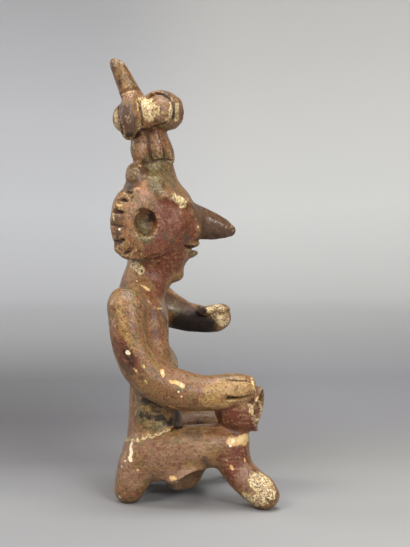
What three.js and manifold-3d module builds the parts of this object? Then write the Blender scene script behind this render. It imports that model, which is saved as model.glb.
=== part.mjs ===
import * as THREE from 'three';
import Module from 'manifold-3d';
import { mergeVertices } from 'three/addons/utils/BufferGeometryUtils.js';

// A seated figure of burnished clay, built by hand and fired as one piece. It looks along +X, its left
// side is +Y and it sits on the ground at z = 0. Every size is in millimetres.

const GROUND = 0;
const BELOW_GROUND = { wide: 400, deep: 100 };
const LEFT = 1;
const RIGHT = -1;
const BOTH_SIDES = [LEFT, RIGHT];

// Trunk, as oval sections from the hips up to the neck: back and front, and half the width.
const TRUNK = [
  { z: 26, back: -42, front: -6, half: 27 },
  { z: 43, back: -40.4, front: -7, half: 30 },
  { z: 60, back: -39.4, front: -7.6, half: 28.5 },
  { z: 76, back: -39.6, front: -7.6, half: 28 },
  { z: 90, back: -41, front: -12.2, half: 30 },
  { z: 103, back: -43, front: -12.6, half: 34 },
  { z: 114, back: -45.4, front: -15.4, half: 37 },
  { z: 122, back: -46.6, front: -17.8, half: 36 },
  { z: 129, back: -46, front: -16.6, half: 26 },
  { z: 136, back: -42.6, front: -13, half: 16 },
  { z: 146, back: -39.2, front: -8, half: 14 },
];
const TRUNK_BOTTOM = 15;
const TRUNK_SQUARENESS = 0.82;
const TRUNK_SIDES = 20;

// Head, from under the chin up into the top-knot.
const HEAD = [
  { z: 136, back: -34, front: -8.2, half: 10 },
  { z: 140, back: -37, front: -6, half: 13.5 },
  { z: 146, back: -40, front: -4, half: 16.5 },
  { z: 154, back: -42, front: 0.6, half: 18.5 },
  { z: 163, back: -43, front: 2, half: 20 },
  { z: 173, back: -43, front: 1.8, half: 20 },
  { z: 182, back: -42, front: -0.6, half: 19 },
  { z: 189, back: -41, front: -6.6, half: 17.2 },
  { z: 197, back: -39.5, front: -10.6, half: 15 },
  { z: 207, back: -38, front: -13.6, half: 12 },
];
const CHIN_ROUNDING = 2;

// Nose, a long beak: top and bottom edge and half the width, from inside the face to the tip.
const NOSE = [
  { x: -8, top: 185, bottom: 158.4, half: 9.2 },
  { x: -1, top: 182.6, bottom: 159, half: 8.4 },
  { x: 6, top: 179.2, bottom: 159, half: 7.3 },
  { x: 13, top: 175.8, bottom: 158.7, half: 6.2 },
  { x: 20, top: 171.2, bottom: 159.7, half: 4.6 },
  { x: 24, top: 167.6, bottom: 161.2, half: 2.8 },
];
const NOSE_TIP = 2.2;
const NOSE_RIDGE = { narrowing: 0.35, widest: 0.4 };

// Mouth: two lips with an open slit between them.
const UPPER_LIP = { x: -2.6, z: 156.9, length: 7.1, half: 8.5, thick: 3.1 };
const LOWER_LIP = { x: -3.6, z: 150.6, length: 7.3, half: 8, thick: 3, tilt: 8 };
const MOUTH_SLIT = { x: 3, z: 153.7, length: 8, half: 11, thick: 1.2 };

// Ears: upright discs, turned a little forwards, with a deep cup in the middle and a notched back edge.
const EAR = { x: -30.1, y: 21.5, z: 171.1, radius: 21, tall: 22.5, thick: 8, turn: 11 };
const EAR_FACETS = 22;
const EAR_CORNERS = 0.06;
const EAR_RIM = { lift: 0.8, bevel: 1, lip: 2 };
const EAR_CUP = { half: 7.2, tall: 9.1, deep: 7, proud: 0.6 };
const EAR_NOTCHES = [60, 45, 22, -4, -34, -57, -75];
const EAR_NOTCH = { length: 7, width: 1.5, deep: 3.2, past: 1 };

// Cheeks, full enough to run into the fronts of the ears. Eyes and buns.
const CHEEK = { x: -17, y: 14, z: 169.5, long: 15, half: 9, tall: 18.5 };
const EYE = { x: -4.4, y: 16.2, z: 175.5, long: 5, tall: 2.4, thick: 2, turn: 38 };
const BUN = { x: -34.2, y: 11.5, z: 198.8, long: 7.4, half: 7.2, tall: 8.4 };

// Top-knot: a fluted bundle that stands on the crown. Grooves are degrees from the front.
const KNOT = [
  { z: 206.8, x: -24.2, half: 11.7 },
  { z: 210.5, x: -25, half: 12.5 },
  { z: 215, x: -25.5, half: 12.5 },
  { z: 221, x: -26.6, half: 11.8 },
  { z: 228, x: -27.6, half: 10.5 },
  { z: 235, x: -28.4, half: 9 },
  { z: 244, x: -29.6, half: 6.5 },
];
const KNOT_GROOVES = [0, 52, 96, 180, 264, 308];
const KNOT_GROOVE_DEPTH = 2;
const KNOT_GROOVE_SPREAD = 9;
const KNOT_STRAND = 30;
const KNOT_ROUNDING = 1;

// Roll bound round the head of the top-knot, with four straps over it, and the horn on top. A strap's
// angle is degrees from the front.
const ROLL = { x: -28, z: 236, radius: 10.6, tube: 9.8, tilt: 12 };
const STRAPS = [
  { angle: 32, width: 13.6, tall: 13.2, outward: 12.4, lift: 1.9 },
  { angle: 123, width: 14.4, tall: 14.2, outward: 12.4, lift: -1 },
];
const STRAP_THICKNESS = 2.4;
const HORN = [
  { x: -33.5, z: 240, half: 8.6 },
  { x: -37.4, z: 248.3, half: 7 },
  { x: -43.4, z: 259.4, half: 5 },
  { x: -47.6, z: 266.8, half: 3.6 },
];
const HORN_TIP = 3.8;
const HORN_SIDES = 12;

// Right arm, down the side and forwards to the jar. Across is along Y, through is across the limb.
const RIGHT_ARM = [
  { x: -39.8, y: -29, z: 126, across: 11, through: 10.2 },
  { x: -40.2, y: -35, z: 118.4, across: 12.6, through: 12.2 },
  { x: -40.2, y: -38, z: 107.5, across: 11.5, through: 11.4 },
  { x: -37, y: -38.5, z: 95, across: 11.5, through: 11.6 },
  { x: -31.4, y: -38.5, z: 84.4, across: 12, through: 12.4 },
  { x: -22, y: -38, z: 76.4, across: 12, through: 12.6 },
  { x: -8, y: -38, z: 72, across: 12, through: 12.2 },
  { x: 4, y: -38.5, z: 69.9, across: 11, through: 10.8 },
  { x: 16, y: -39, z: 71, across: 10, through: 11.2 },
  { x: 25, y: -39, z: 72.2, across: 9, through: 10.4 },
  { x: 32, y: -38, z: 71.8, across: 7.5, through: 8.4 },
];
const SHOULDER_ROUNDING = 4;
const FINGER_ROUNDING = 3;
const FINGER_GROOVES = [78, 68.6];
const FINGER_GROOVE = { from: 17, to: 37, y: -48.6, width: 1.6, deep: 4 };

// The clay that fills the hollow between the right upper arm and the chest.
const ARM_WEB = [
  { x: -28, y: -27, z: 120, across: 8, through: 8.6 },
  { x: -26.5, y: -29, z: 106, across: 9.5, through: 10.2 },
  { x: -25, y: -29.5, z: 92, across: 10, through: 11 },
  { x: -23, y: -30, z: 80, across: 10, through: 10 },
];
const ARM_WEB_SIDES = 12;

// Left arm, raised forwards to a half-closed fist.
const LEFT_ARM = [
  { x: -41, y: 30, z: 119.6, across: 11, through: 11 },
  { x: -31, y: 34.5, z: 118.4, across: 12.6, through: 13.2 },
  { x: -19, y: 36.5, z: 114.6, across: 12, through: 13.6 },
  { x: -9, y: 36.5, z: 110.6, across: 11, through: 11.8 },
  { x: 1, y: 35, z: 106.8, across: 9.8, through: 9.6 },
  { x: 9, y: 33, z: 105.6, across: 9, through: 8.6 },
  { x: 16, y: 32, z: 106.6, across: 8.6, through: 9.2 },
];
const FIST_END = 8.4;
const FIST_HOLLOW = { x: 17.4, y: 31, z: 116.8, half: 3.4, deep: 6.5 };

// Legs: a broad thigh, a short shin that slopes forwards and a blunt foot.
const THIGH = [
  { x: -30, y: 18, z: 30, across: 15, through: 15 },
  { x: -18, y: 24, z: 29.6, across: 15, through: 16.8 },
  { x: -4, y: 28.5, z: 33.6, across: 14.5, through: 15.6 },
  { x: 8, y: 30.5, z: 36.6, across: 13.5, through: 14 },
  { x: 18, y: 31, z: 38, across: 12, through: 12 },
];
const SHIN = [
  { x: 19.5, y: 31, z: 40, across: 12, through: 11.5 },
  { x: 20.8, y: 32, z: 31, across: 11, through: 10.2 },
  { x: 24.4, y: 33, z: 22.4, across: 10.4, through: 9.2 },
  { x: 31.8, y: 36, z: 14.6, across: 10, through: 8.9 },
  { x: 39.6, y: 39.5, z: 9.6, across: 10, through: 9.6 },
  { x: 43.6, y: 42, z: 6.7, across: 8.6, through: 8.4 },
];
const KNEE_ROUNDING = 8;
const TOE_ROUNDING = 5.6;
const LEFT_FOOT_SET_BACK = 13;
const LEFT_SEAT_SET_FORWARD = 2.5;

// Seat: two buttock lobes that reach the ground behind, and a broad flap, like the hem of a loincloth, that
// hangs from thigh to thigh and stops just above the ground.
const BUTTOCK = [
  { x: -24, y: 18, z: 40, across: 13, through: 12 },
  { x: -31, y: 19, z: 29, across: 14.5, through: 13.4 },
  { x: -36, y: 19, z: 18.4, across: 13, through: 12 },
  { x: -39.8, y: 18.5, z: 8.4, across: 11.5, through: 9.7 },
];
const BUTTOCK_ROUNDING = 9.6;
const FLAP = [
  { x: -8, y: 0, z: 33, across: 36, through: 18 },
  { x: -4.4, y: 0, z: 21, across: 36, through: 15.4 },
  { x: -5.6, y: 0, z: 12, across: 29, through: 10.4 },
];
const FLAP_ROUNDING = 7;

// Jar on the right knee, its mouth turned forwards and a little to the right.
const JAR = { x: 27, y: -30, z: 60.5, belly: 16, rise: -7, turn: 18 };
const JAR_MOUTH = { along: 9, radius: 14, wall: 2.4, deep: 12, lip: 1.6, collar: 2.6, bevel: 0.6 };
const JAR_FLOOR = { share: 0.7, dish: 1.5, corner: 6 };
const JAR_PAST_MOUTH = 3.4;

// How finely the clay is drawn: points round a limb, the gap between its rings, and the angles of the
// two rings that round off an end.
const SIDES = 16;
const STEP = 10;
const FINE_STEP = 8;
const END_RINGS = [32, 62];

const CLAY = { color: 0x8a4a34, roughness: 0.42, metalness: 0 };

const wasm = await Module();
wasm.setup();

const radians = THREE.MathUtils.degToRad;
const ACROSS = new THREE.Vector3(0, 1, 0);

// A closed geometry made a solid. Seams and poles share their vertices, and slivers at them go.
function solid(geometry) {
  geometry.deleteAttribute('normal');
  geometry.deleteAttribute('uv');
  const merged = mergeVertices(geometry);
  const corners = merged.index.array;
  const kept = [];
  for (let i = 0; i < corners.length; i += 3) {
    const [a, b, c] = [corners[i], corners[i + 1], corners[i + 2]];
    if (a !== b && b !== c && c !== a) kept.push(a, b, c);
  }
  const vertProperties = new Float32Array(merged.attributes.position.array);
  return new wasm.Manifold(new wasm.Mesh({ numProp: 3, vertProperties, triVerts: new Uint32Array(kept) }));
}

function join(parts) {
  return parts.reduce((whole, part) => whole.add(part));
}

function evenAngles(sides) {
  return Array.from({ length: sides }, (_, k) => (360 * k) / sides);
}

// A limb: oval rings strung along a smooth curve. Each end is flat, or rounded where it is given a
// rounding. Ring angles are degrees, 0 at across and 90 at through, and shape may press the oval in.
function limb(stations, { startRounding = 0, endRounding = 0, step = STEP, angles, shape } = {}) {
  const smooth = (points) => new THREE.CatmullRomCurve3(points, false, 'catmullrom');
  const path = smooth(stations.map((s) => new THREE.Vector3(s.x, s.y, s.z)));
  const sizes = smooth(stations.map((s) => new THREE.Vector3(s.across, s.through, 0)));
  const around = angles ?? evenAngles(SIDES);
  const sides = around.length;
  const steps = Math.max(stations.length - 1, Math.round(path.getLength() / step));
  const rings = [];
  for (let i = 0; i <= steps; i += 1) {
    const at = i / steps;
    const size = sizes.getPoint(at);
    rings.push({ centre: path.getPoint(at), along: path.getTangent(at), across: size.x, through: size.y });
  }
  const rounded = [
    ...endRings(rings[0], -startRounding).reverse(),
    ...rings,
    ...endRings(rings[steps], endRounding),
  ];
  const positions = [];
  for (const ring of rounded) {
    const side = ACROSS.clone().addScaledVector(ring.along, -ACROSS.dot(ring.along)).normalize();
    const up = new THREE.Vector3().crossVectors(ring.along, side);
    for (const degrees of around) {
      const angle = radians(degrees);
      const [u, v] = shape ? shape(degrees) : [Math.cos(angle), Math.sin(angle)];
      const point = ring.centre.clone();
      point.addScaledVector(side, u * ring.across).addScaledVector(up, v * ring.through);
      positions.push(point.x, point.y, point.z);
    }
  }
  positions.push(...poleOf(rings[0], -startRounding), ...poleOf(rings[steps], endRounding));
  const startPole = rounded.length * sides;
  const index = [];
  for (let k = 0; k < sides; k += 1) {
    const next = (k + 1) % sides;
    index.push(startPole, next, k);
    for (let r = 0; r + 1 < rounded.length; r += 1) {
      const low = r * sides;
      const high = low + sides;
      index.push(low + k, low + next, high + next);
      index.push(low + k, high + next, high + k);
    }
    const top = (rounded.length - 1) * sides;
    index.push(startPole + 1, top + k, top + next);
  }
  const geometry = new THREE.BufferGeometry();
  geometry.setAttribute('position', new THREE.Float32BufferAttribute(positions, 3));
  geometry.setIndex(index);
  return solid(geometry);
}

function poleOf(ring, rounding) {
  return ring.centre.clone().addScaledVector(ring.along, rounding).toArray();
}

// The shrinking rings past a rounded end.
function endRings(ring, rounding) {
  if (rounding === 0) return [];
  return END_RINGS.map((degrees) => {
    const angle = radians(degrees);
    return {
      centre: ring.centre.clone().addScaledVector(ring.along, rounding * Math.sin(angle)),
      along: ring.along,
      across: ring.across * Math.cos(angle),
      through: ring.through * Math.cos(angle),
    };
  });
}

// Upright stations from back, front and half-width.
function upright(sections) {
  return sections.map((s) => ({
    x: (s.back + s.front) / 2, y: 0, z: s.z, across: s.half, through: (s.front - s.back) / 2,
  }));
}

function ball(x, y, z, long, half, tall, { tilt = 0, turn = 0, sides = 12, rows = 8 } = {}) {
  const geometry = new THREE.SphereGeometry(1, sides, rows);
  geometry.rotateX(Math.PI / 2);
  geometry.scale(long, half, tall);
  geometry.rotateY(-radians(tilt));
  geometry.rotateZ(radians(turn));
  geometry.translate(x, y, z);
  return solid(geometry);
}

function block(long, wide, tall, place) {
  const geometry = new THREE.BoxGeometry(long, wide, tall);
  place(geometry);
  return solid(geometry);
}

function mirrored(stations, side) {
  return stations.map((s) => ({ ...s, y: s.y * side }));
}

function trunk() {
  const bulge = (value) => Math.sign(value) * Math.abs(value) ** TRUNK_SQUARENESS;
  const slab = (degrees) => [bulge(Math.cos(radians(degrees))), bulge(Math.sin(radians(degrees)))];
  return limb(upright(TRUNK), { startRounding: TRUNK_BOTTOM, angles: evenAngles(TRUNK_SIDES), shape: slab });
}

function nose() {
  const stations = NOSE.map((s) => ({
    x: s.x, y: 0, z: (s.top + s.bottom) / 2, across: s.half, through: (s.top - s.bottom) / 2,
  }));
  // The limb's through axis points down along the nose, so the narrow ridge is at its negative side.
  const ridged = (degrees) => {
    const down = Math.sin(radians(degrees));
    const width = 1 + NOSE_RIDGE.narrowing * Math.min(down, NOSE_RIDGE.widest);
    return [Math.cos(radians(degrees)) * width, down];
  };
  return limb(stations, { endRounding: NOSE_TIP, step: FINE_STEP, shape: ridged });
}

function lips() {
  const upper = ball(UPPER_LIP.x, 0, UPPER_LIP.z, UPPER_LIP.length, UPPER_LIP.half, UPPER_LIP.thick);
  const { x, z, length, half, thick, tilt } = LOWER_LIP;
  const lower = ball(x, 0, z, length, half, thick, { tilt });
  return join([upper, lower]);
}

// An ear disc is turned about its own axis, which is Y, from a profile of radius and height, and then
// drawn out a little towards its four corners.
function ear(side) {
  const round = EAR.thick / 2;
  const profile = [new THREE.Vector2(0, -round), new THREE.Vector2(EAR.radius - round, -round)];
  for (const degrees of [-45, 0, 45]) {
    const angle = radians(degrees);
    profile.push(new THREE.Vector2(
      EAR.radius - round + round * Math.cos(angle), round * Math.sin(angle)));
  }
  profile.push(new THREE.Vector2(EAR.radius - round - EAR_RIM.bevel, round));
  profile.push(new THREE.Vector2(EAR_CUP.tall + EAR_RIM.lip, round + EAR_RIM.lift));
  profile.push(new THREE.Vector2(0, round + EAR_RIM.lift));
  const disc = new THREE.LatheGeometry(profile, EAR_FACETS);
  const corner = disc.attributes.position;
  for (let i = 0; i < corner.count; i += 1) {
    const [x, z] = [corner.getX(i), corner.getZ(i)];
    const grown = 1 + EAR_CORNERS * Math.sin(2 * Math.atan2(z, x)) ** 2;
    corner.setX(i, x * grown);
    corner.setZ(i, z * grown);
  }
  disc.scale(1, 1, EAR.tall / EAR.radius);
  return solid(placeEar(disc, side));
}

// Ear pieces are made with the outer face at +Y, then turned, mirrored and moved to their side.
function placeEar(geometry, side) {
  geometry.rotateZ(-radians(EAR.turn));
  geometry.translate(EAR.x, EAR.y, EAR.z);
  if (side === RIGHT) {
    geometry.scale(1, -1, 1);
    const index = geometry.index;
    for (let i = 0; i < index.count; i += 3) {
      const held = index.getX(i);
      index.setX(i, index.getX(i + 1));
      index.setX(i + 1, held);
    }
  }
  return geometry;
}

function earCuts(side) {
  const face = EAR.thick / 2 + EAR_RIM.lift;
  const cup = new THREE.SphereGeometry(1, 12, 7);
  cup.scale(EAR_CUP.half, EAR_CUP.deep, EAR_CUP.tall);
  cup.translate(0, face + EAR_CUP.proud, 0);
  const cuts = [solid(placeEar(cup, side))];
  for (const degrees of EAR_NOTCHES) {
    const angle = radians(degrees);
    const reach = EAR.radius + EAR_NOTCH.past - EAR_NOTCH.length / 2;
    const slot = new THREE.BoxGeometry(EAR_NOTCH.length, 2 * EAR_NOTCH.deep, EAR_NOTCH.width);
    slot.rotateY(angle);
    slot.translate(-reach * Math.cos(angle), face, (reach * Math.sin(angle) * EAR.tall) / EAR.radius);
    cuts.push(solid(placeEar(slot, side)));
  }
  return cuts;
}

function eye(side) {
  const shape = { turn: -side * EYE.turn, sides: 10, rows: 6 };
  return ball(EYE.x, side * EYE.y, EYE.z, EYE.long, EYE.thick, EYE.tall, shape);
}

function topKnot() {
  const stations = KNOT.map((s) => ({ x: s.x, y: 0, z: s.z, across: s.half, through: s.half }));
  // Through points back here, so the front is at 270 degrees.
  const grooves = KNOT_GROOVES.map((fromFront) => (fromFront + 270) % 360).sort((a, b) => a - b);
  const angles = [];
  grooves.forEach((groove, i) => {
    const next = grooves[i + 1] ?? grooves[0] + 360;
    const strands = Math.max(1, Math.round((next - groove) / KNOT_STRAND));
    const inner = next - groove - 2 * KNOT_GROOVE_SPREAD;
    angles.push(groove);
    for (let k = 0; k <= strands; k += 1) angles.push(groove + KNOT_GROOVE_SPREAD + (inner * k) / strands);
  });
  const fluted = (degrees) => {
    const angle = radians(degrees);
    const reach = grooves.includes(degrees) ? 1 - KNOT_GROOVE_DEPTH / KNOT[1].half : 1;
    return [Math.cos(angle) * reach, Math.sin(angle) * reach];
  };
  return limb(stations, { startRounding: KNOT_ROUNDING, angles, shape: fluted });
}

function roll() {
  const ring = new THREE.TorusGeometry(ROLL.radius, ROLL.tube, 10, 16);
  ring.rotateY(-radians(ROLL.tilt));
  ring.translate(ROLL.x, 0, ROLL.z);
  return solid(ring);
}

// A strap is a flat band that goes once round the roll's tube.
function strap({ angle, width, tall, outward, lift }, side) {
  const thin = STRAP_THICKNESS / outward;
  const band = new THREE.TorusGeometry(1, thin, 6, 12);
  band.scale(outward - STRAP_THICKNESS, tall - STRAP_THICKNESS, width / 2 / thin);
  band.rotateX(Math.PI / 2);
  band.translate(ROLL.radius, 0, 0);
  band.rotateZ(side * radians(angle));
  band.translate(ROLL.x, 0, ROLL.z + lift);
  return solid(band);
}

function horn() {
  const stations = HORN.map((s) => ({ x: s.x, y: 0, z: s.z, across: s.half, through: s.half }));
  return limb(stations, { endRounding: HORN_TIP, angles: evenAngles(HORN_SIDES) });
}

function fingerGroove(z) {
  return block(FINGER_GROOVE.to - FINGER_GROOVE.from, 2 * FINGER_GROOVE.deep, FINGER_GROOVE.width,
    (slot) => slot.translate((FINGER_GROOVE.from + FINGER_GROOVE.to) / 2, FINGER_GROOVE.y, z));
}

function leg(side) {
  const foot = side === LEFT ? LEFT_FOOT_SET_BACK : 0;
  const seat = side === LEFT ? LEFT_SEAT_SET_FORWARD : 0;
  const shin = SHIN.map((s, i) => ({ ...s, x: s.x - (foot * (i + 1)) / SHIN.length }));
  const buttock = BUTTOCK.map((s) => ({ ...s, x: s.x + seat }));
  return join([
    limb(mirrored(THIGH, side), { endRounding: KNEE_ROUNDING }),
    limb(mirrored(shin, side), { startRounding: KNEE_ROUNDING, endRounding: TOE_ROUNDING, step: FINE_STEP }),
    limb(mirrored(buttock, side), { endRounding: BUTTOCK_ROUNDING }),
  ]);
}

// The jar is turned about +X: its belly is a ball and its mouth a short flared collar.
function jarShape(profile) {
  const shape = new THREE.LatheGeometry(profile, 20);
  shape.rotateZ(-Math.PI / 2);
  shape.rotateY(-radians(JAR.rise));
  shape.rotateZ(-radians(JAR.turn));
  shape.translate(JAR.x, JAR.y, JAR.z);
  return solid(shape);
}

function jar() {
  const profile = [];
  const neck = Math.asin(JAR_MOUTH.along / JAR.belly);
  const rows = 6;
  for (let i = 0; i <= rows; i += 1) {
    const angle = -Math.PI / 2 + ((neck + Math.PI / 2) * i) / rows;
    profile.push(new THREE.Vector2(JAR.belly * Math.cos(angle), JAR.belly * Math.sin(angle)));
  }
  const top = JAR_MOUTH.along + JAR_MOUTH.collar;
  profile.push(new THREE.Vector2(JAR_MOUTH.radius, JAR_MOUTH.along + JAR_MOUTH.lip));
  profile.push(new THREE.Vector2(JAR_MOUTH.radius - JAR_MOUTH.bevel, top));
  profile.push(new THREE.Vector2(0, top));
  return jarShape(profile);
}

function jarHollow() {
  const top = JAR_MOUTH.along + JAR_MOUTH.collar;
  const floor = top - JAR_MOUTH.deep;
  const inner = JAR_MOUTH.radius - JAR_MOUTH.wall;
  return jarShape([
    new THREE.Vector2(0, floor),
    new THREE.Vector2(inner * JAR_FLOOR.share, floor + JAR_FLOOR.dish),
    new THREE.Vector2(inner, floor + JAR_FLOOR.corner),
    new THREE.Vector2(inner, top + JAR_PAST_MOUTH),
    new THREE.Vector2(0, top + JAR_PAST_MOUTH),
  ]);
}

function figure() {
  const added = [
    trunk(),
    limb(upright(HEAD), { startRounding: CHIN_ROUNDING, angles: evenAngles(TRUNK_SIDES) }),
    nose(),
    lips(),
    topKnot(),
    roll(),
    horn(),
    limb(RIGHT_ARM, { startRounding: SHOULDER_ROUNDING, endRounding: FINGER_ROUNDING }),
    limb(ARM_WEB, { startRounding: SHOULDER_ROUNDING, angles: evenAngles(ARM_WEB_SIDES) }),
    limb(LEFT_ARM, { startRounding: SHOULDER_ROUNDING, endRounding: FIST_END }),
    limb(FLAP, { endRounding: FLAP_ROUNDING }),
    jar(),
  ];
  const cut = [
    ball(MOUTH_SLIT.x, 0, MOUTH_SLIT.z, MOUTH_SLIT.length, MOUTH_SLIT.half, MOUTH_SLIT.thick),
    ball(FIST_HOLLOW.x, FIST_HOLLOW.y, FIST_HOLLOW.z, FIST_HOLLOW.half, FIST_HOLLOW.half, FIST_HOLLOW.deep),
    jarHollow(),
    ...FINGER_GROOVES.map(fingerGroove),
  ];
  for (const side of BOTH_SIDES) {
    added.push(ear(side), leg(side));
    added.push(ball(BUN.x, side * BUN.y, BUN.z, BUN.long, BUN.half, BUN.tall));
    added.push(ball(CHEEK.x, side * CHEEK.y, CHEEK.z, CHEEK.long, CHEEK.half, CHEEK.tall));
    added.push(eye(side));
    added.push(...STRAPS.map((s) => strap(s, side)));
    cut.push(...earCuts(side));
  }
  const ground = block(BELOW_GROUND.wide, BELOW_GROUND.wide, BELOW_GROUND.deep,
    (box) => box.translate(0, 0, GROUND - BELOW_GROUND.deep / 2));
  return join(added).subtract(join(cut)).subtract(ground);
}

// The finished solid as a geometry, moved so that its box is centred over the origin.
function centred(shape) {
  const mesh = shape.getMesh();
  const geometry = new THREE.BufferGeometry();
  geometry.setAttribute('position', new THREE.BufferAttribute(mesh.vertProperties, 3));
  geometry.setIndex(new THREE.BufferAttribute(mesh.triVerts, 1));
  geometry.computeBoundingBox();
  const middle = geometry.boundingBox.getCenter(new THREE.Vector3());
  geometry.translate(-middle.x, -middle.y, 0);
  geometry.computeVertexNormals();
  return geometry;
}

const seatedFigure = new THREE.Mesh(centred(figure()), new THREE.MeshStandardMaterial(CLAY));
seatedFigure.name = 'seated_figure';

const model = new THREE.Group();
model.add(seatedFigure);

export default model;
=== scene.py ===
import math

import bpy
import numpy as np
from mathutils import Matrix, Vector, noise


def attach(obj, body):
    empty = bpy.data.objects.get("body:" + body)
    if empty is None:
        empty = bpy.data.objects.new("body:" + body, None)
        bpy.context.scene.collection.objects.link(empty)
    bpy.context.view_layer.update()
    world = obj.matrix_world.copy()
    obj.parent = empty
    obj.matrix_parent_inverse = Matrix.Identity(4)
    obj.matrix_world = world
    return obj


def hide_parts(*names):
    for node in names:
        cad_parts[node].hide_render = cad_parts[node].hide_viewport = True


# The visible model of the seated figure: the worked clay, its slip, and the studio it is photographed in.
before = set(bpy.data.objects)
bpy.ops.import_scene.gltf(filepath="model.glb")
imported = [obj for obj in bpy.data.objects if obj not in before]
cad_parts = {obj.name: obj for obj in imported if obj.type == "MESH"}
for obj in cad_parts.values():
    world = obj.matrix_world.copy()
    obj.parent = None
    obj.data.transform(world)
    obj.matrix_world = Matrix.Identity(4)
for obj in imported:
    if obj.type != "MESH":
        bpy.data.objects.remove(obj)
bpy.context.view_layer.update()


# Viewpoint. The figure was photographed from its right side, from a little behind and a little above,
# with a long lens. Lengths here and below are in millimetres unless a name says otherwise.
MM = 0.001
FRAME_WIDE = 410
FRAME_HIGH = 547
FOCAL_IN_FRAME = 1540
SENSOR_HIGH = 36
VIEW_CENTRE = Vector((8.3, 0, 138.3))
VIEW_DISTANCE = 950
VIEW_TURN = math.radians(-3)
VIEW_RISE = math.radians(5.5)

to_camera = Vector((
    math.sin(VIEW_TURN) * math.cos(VIEW_RISE),
    -math.cos(VIEW_TURN) * math.cos(VIEW_RISE),
    math.sin(VIEW_RISE),
))
camera_point = VIEW_CENTRE + to_camera * VIEW_DISTANCE
bpy.ops.object.camera_add(location=camera_point * MM)
camera = bpy.context.object
camera.name = "viewpoint"
camera.rotation_euler = (-to_camera).to_track_quat("-Z", "Y").to_euler()
camera.data.sensor_fit = "VERTICAL"
camera.data.sensor_height = SENSOR_HIGH
camera.data.lens = FOCAL_IN_FRAME / FRAME_HIGH * SENSOR_HIGH
camera.data.clip_start = 0.05
bpy.context.scene.camera = camera


# The fired clay. Body, head, limbs, jar and top-knot were pinched and coiled from one earthenware clay
# and joined wet, so they are one shell. It is cast here from the CAD solid, then evened by hand.
CLAY_GRID = 0.7
CLAY_EASE = 0.5
OUTER_EDGE = 1.5
EASE_ROUNDS = 90
WELD_WITHIN = 0.001
TWO_SIDES = (-1, 1)
PELLET_RINGS = 24
RING_STEPS, RING_SIDES = 72, 28
HORN_SIDES = 64


def work_on(piece):
    """Makes a piece the active one and the only one selected."""
    bpy.ops.object.select_all(action="DESELECT")
    piece.select_set(True)
    bpy.context.view_layer.objects.active = piece


def pellet(name, centre, size, tilt=0.0, turn=0.0):
    """A pellet of clay, rolled to an oval and pressed on. Tilt lifts its front, turn swings it left."""
    bpy.ops.object.select_all(action="DESELECT")
    bpy.ops.mesh.primitive_uv_sphere_add(
        segments=2 * PELLET_RINGS, ring_count=PELLET_RINGS, radius=MM, location=Vector(centre) * MM,
        rotation=(0, -math.radians(tilt), math.radians(turn)), scale=size)
    piece = bpy.context.object
    piece.name = name
    bpy.ops.object.transform_apply(location=True, rotation=True, scale=True)
    return piece


def ring(name, centre, radius, thick, widen=1.0, lean=0.0, turn=0.0):
    """A ring of clay. Lean tips its axis towards the front, and widen stretches it along its axis."""
    bpy.ops.object.select_all(action="DESELECT")
    bpy.ops.mesh.primitive_torus_add(
        location=Vector(centre) * MM, rotation=(0, math.radians(lean), math.radians(turn)),
        major_segments=RING_STEPS, minor_segments=RING_SIDES,
        major_radius=radius * MM, minor_radius=thick * MM)
    piece = bpy.context.object
    piece.name = name
    piece.scale = (1, 1, widen)
    bpy.ops.object.transform_apply(location=True, rotation=True, scale=True)
    return piece


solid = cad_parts["seated_figure"]
figure = solid.copy()
figure.data = solid.data.copy()
figure.name = "burnished_figure"
figure.data.name = "burnished_figure"
bpy.context.scene.collection.objects.link(figure)
figure.data.materials.clear()
work_on(figure)
bpy.ops.object.mode_set(mode="EDIT")
bpy.ops.mesh.select_all(action="SELECT")
bpy.ops.mesh.remove_doubles(threshold=WELD_WITHIN * MM)
bpy.ops.object.mode_set(mode="OBJECT")

# The roll round the top-knot, and the two front bands that are bound over it.
ROLL_CENTRE = (-28, 0, 236)
ROLL_RADIUS, ROLL_THICK, ROLL_LEAN = 10.6, 9.9, -12
BAND_FROM_FRONT, BAND_RAISED, BAND_RADIUS, BAND_THICK, BAND_WIDEN = 32, 3.6, 10.5, 1.9, 3.4
pressed_on = [ring("roll", ROLL_CENTRE, ROLL_RADIUS, ROLL_THICK, lean=ROLL_LEAN)]
along = math.radians(BAND_FROM_FRONT)
for side in TWO_SIDES:
    band_centre = (
        ROLL_CENTRE[0] + ROLL_RADIUS * math.cos(along),
        side * ROLL_RADIUS * math.sin(along),
        ROLL_CENTRE[2] + BAND_RAISED,
    )
    pressed_on.append(ring("front_band", band_centre, BAND_RADIUS, BAND_THICK, BAND_WIDEN,
                           lean=90, turn=side * (90 + BAND_FROM_FRONT)))

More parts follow.
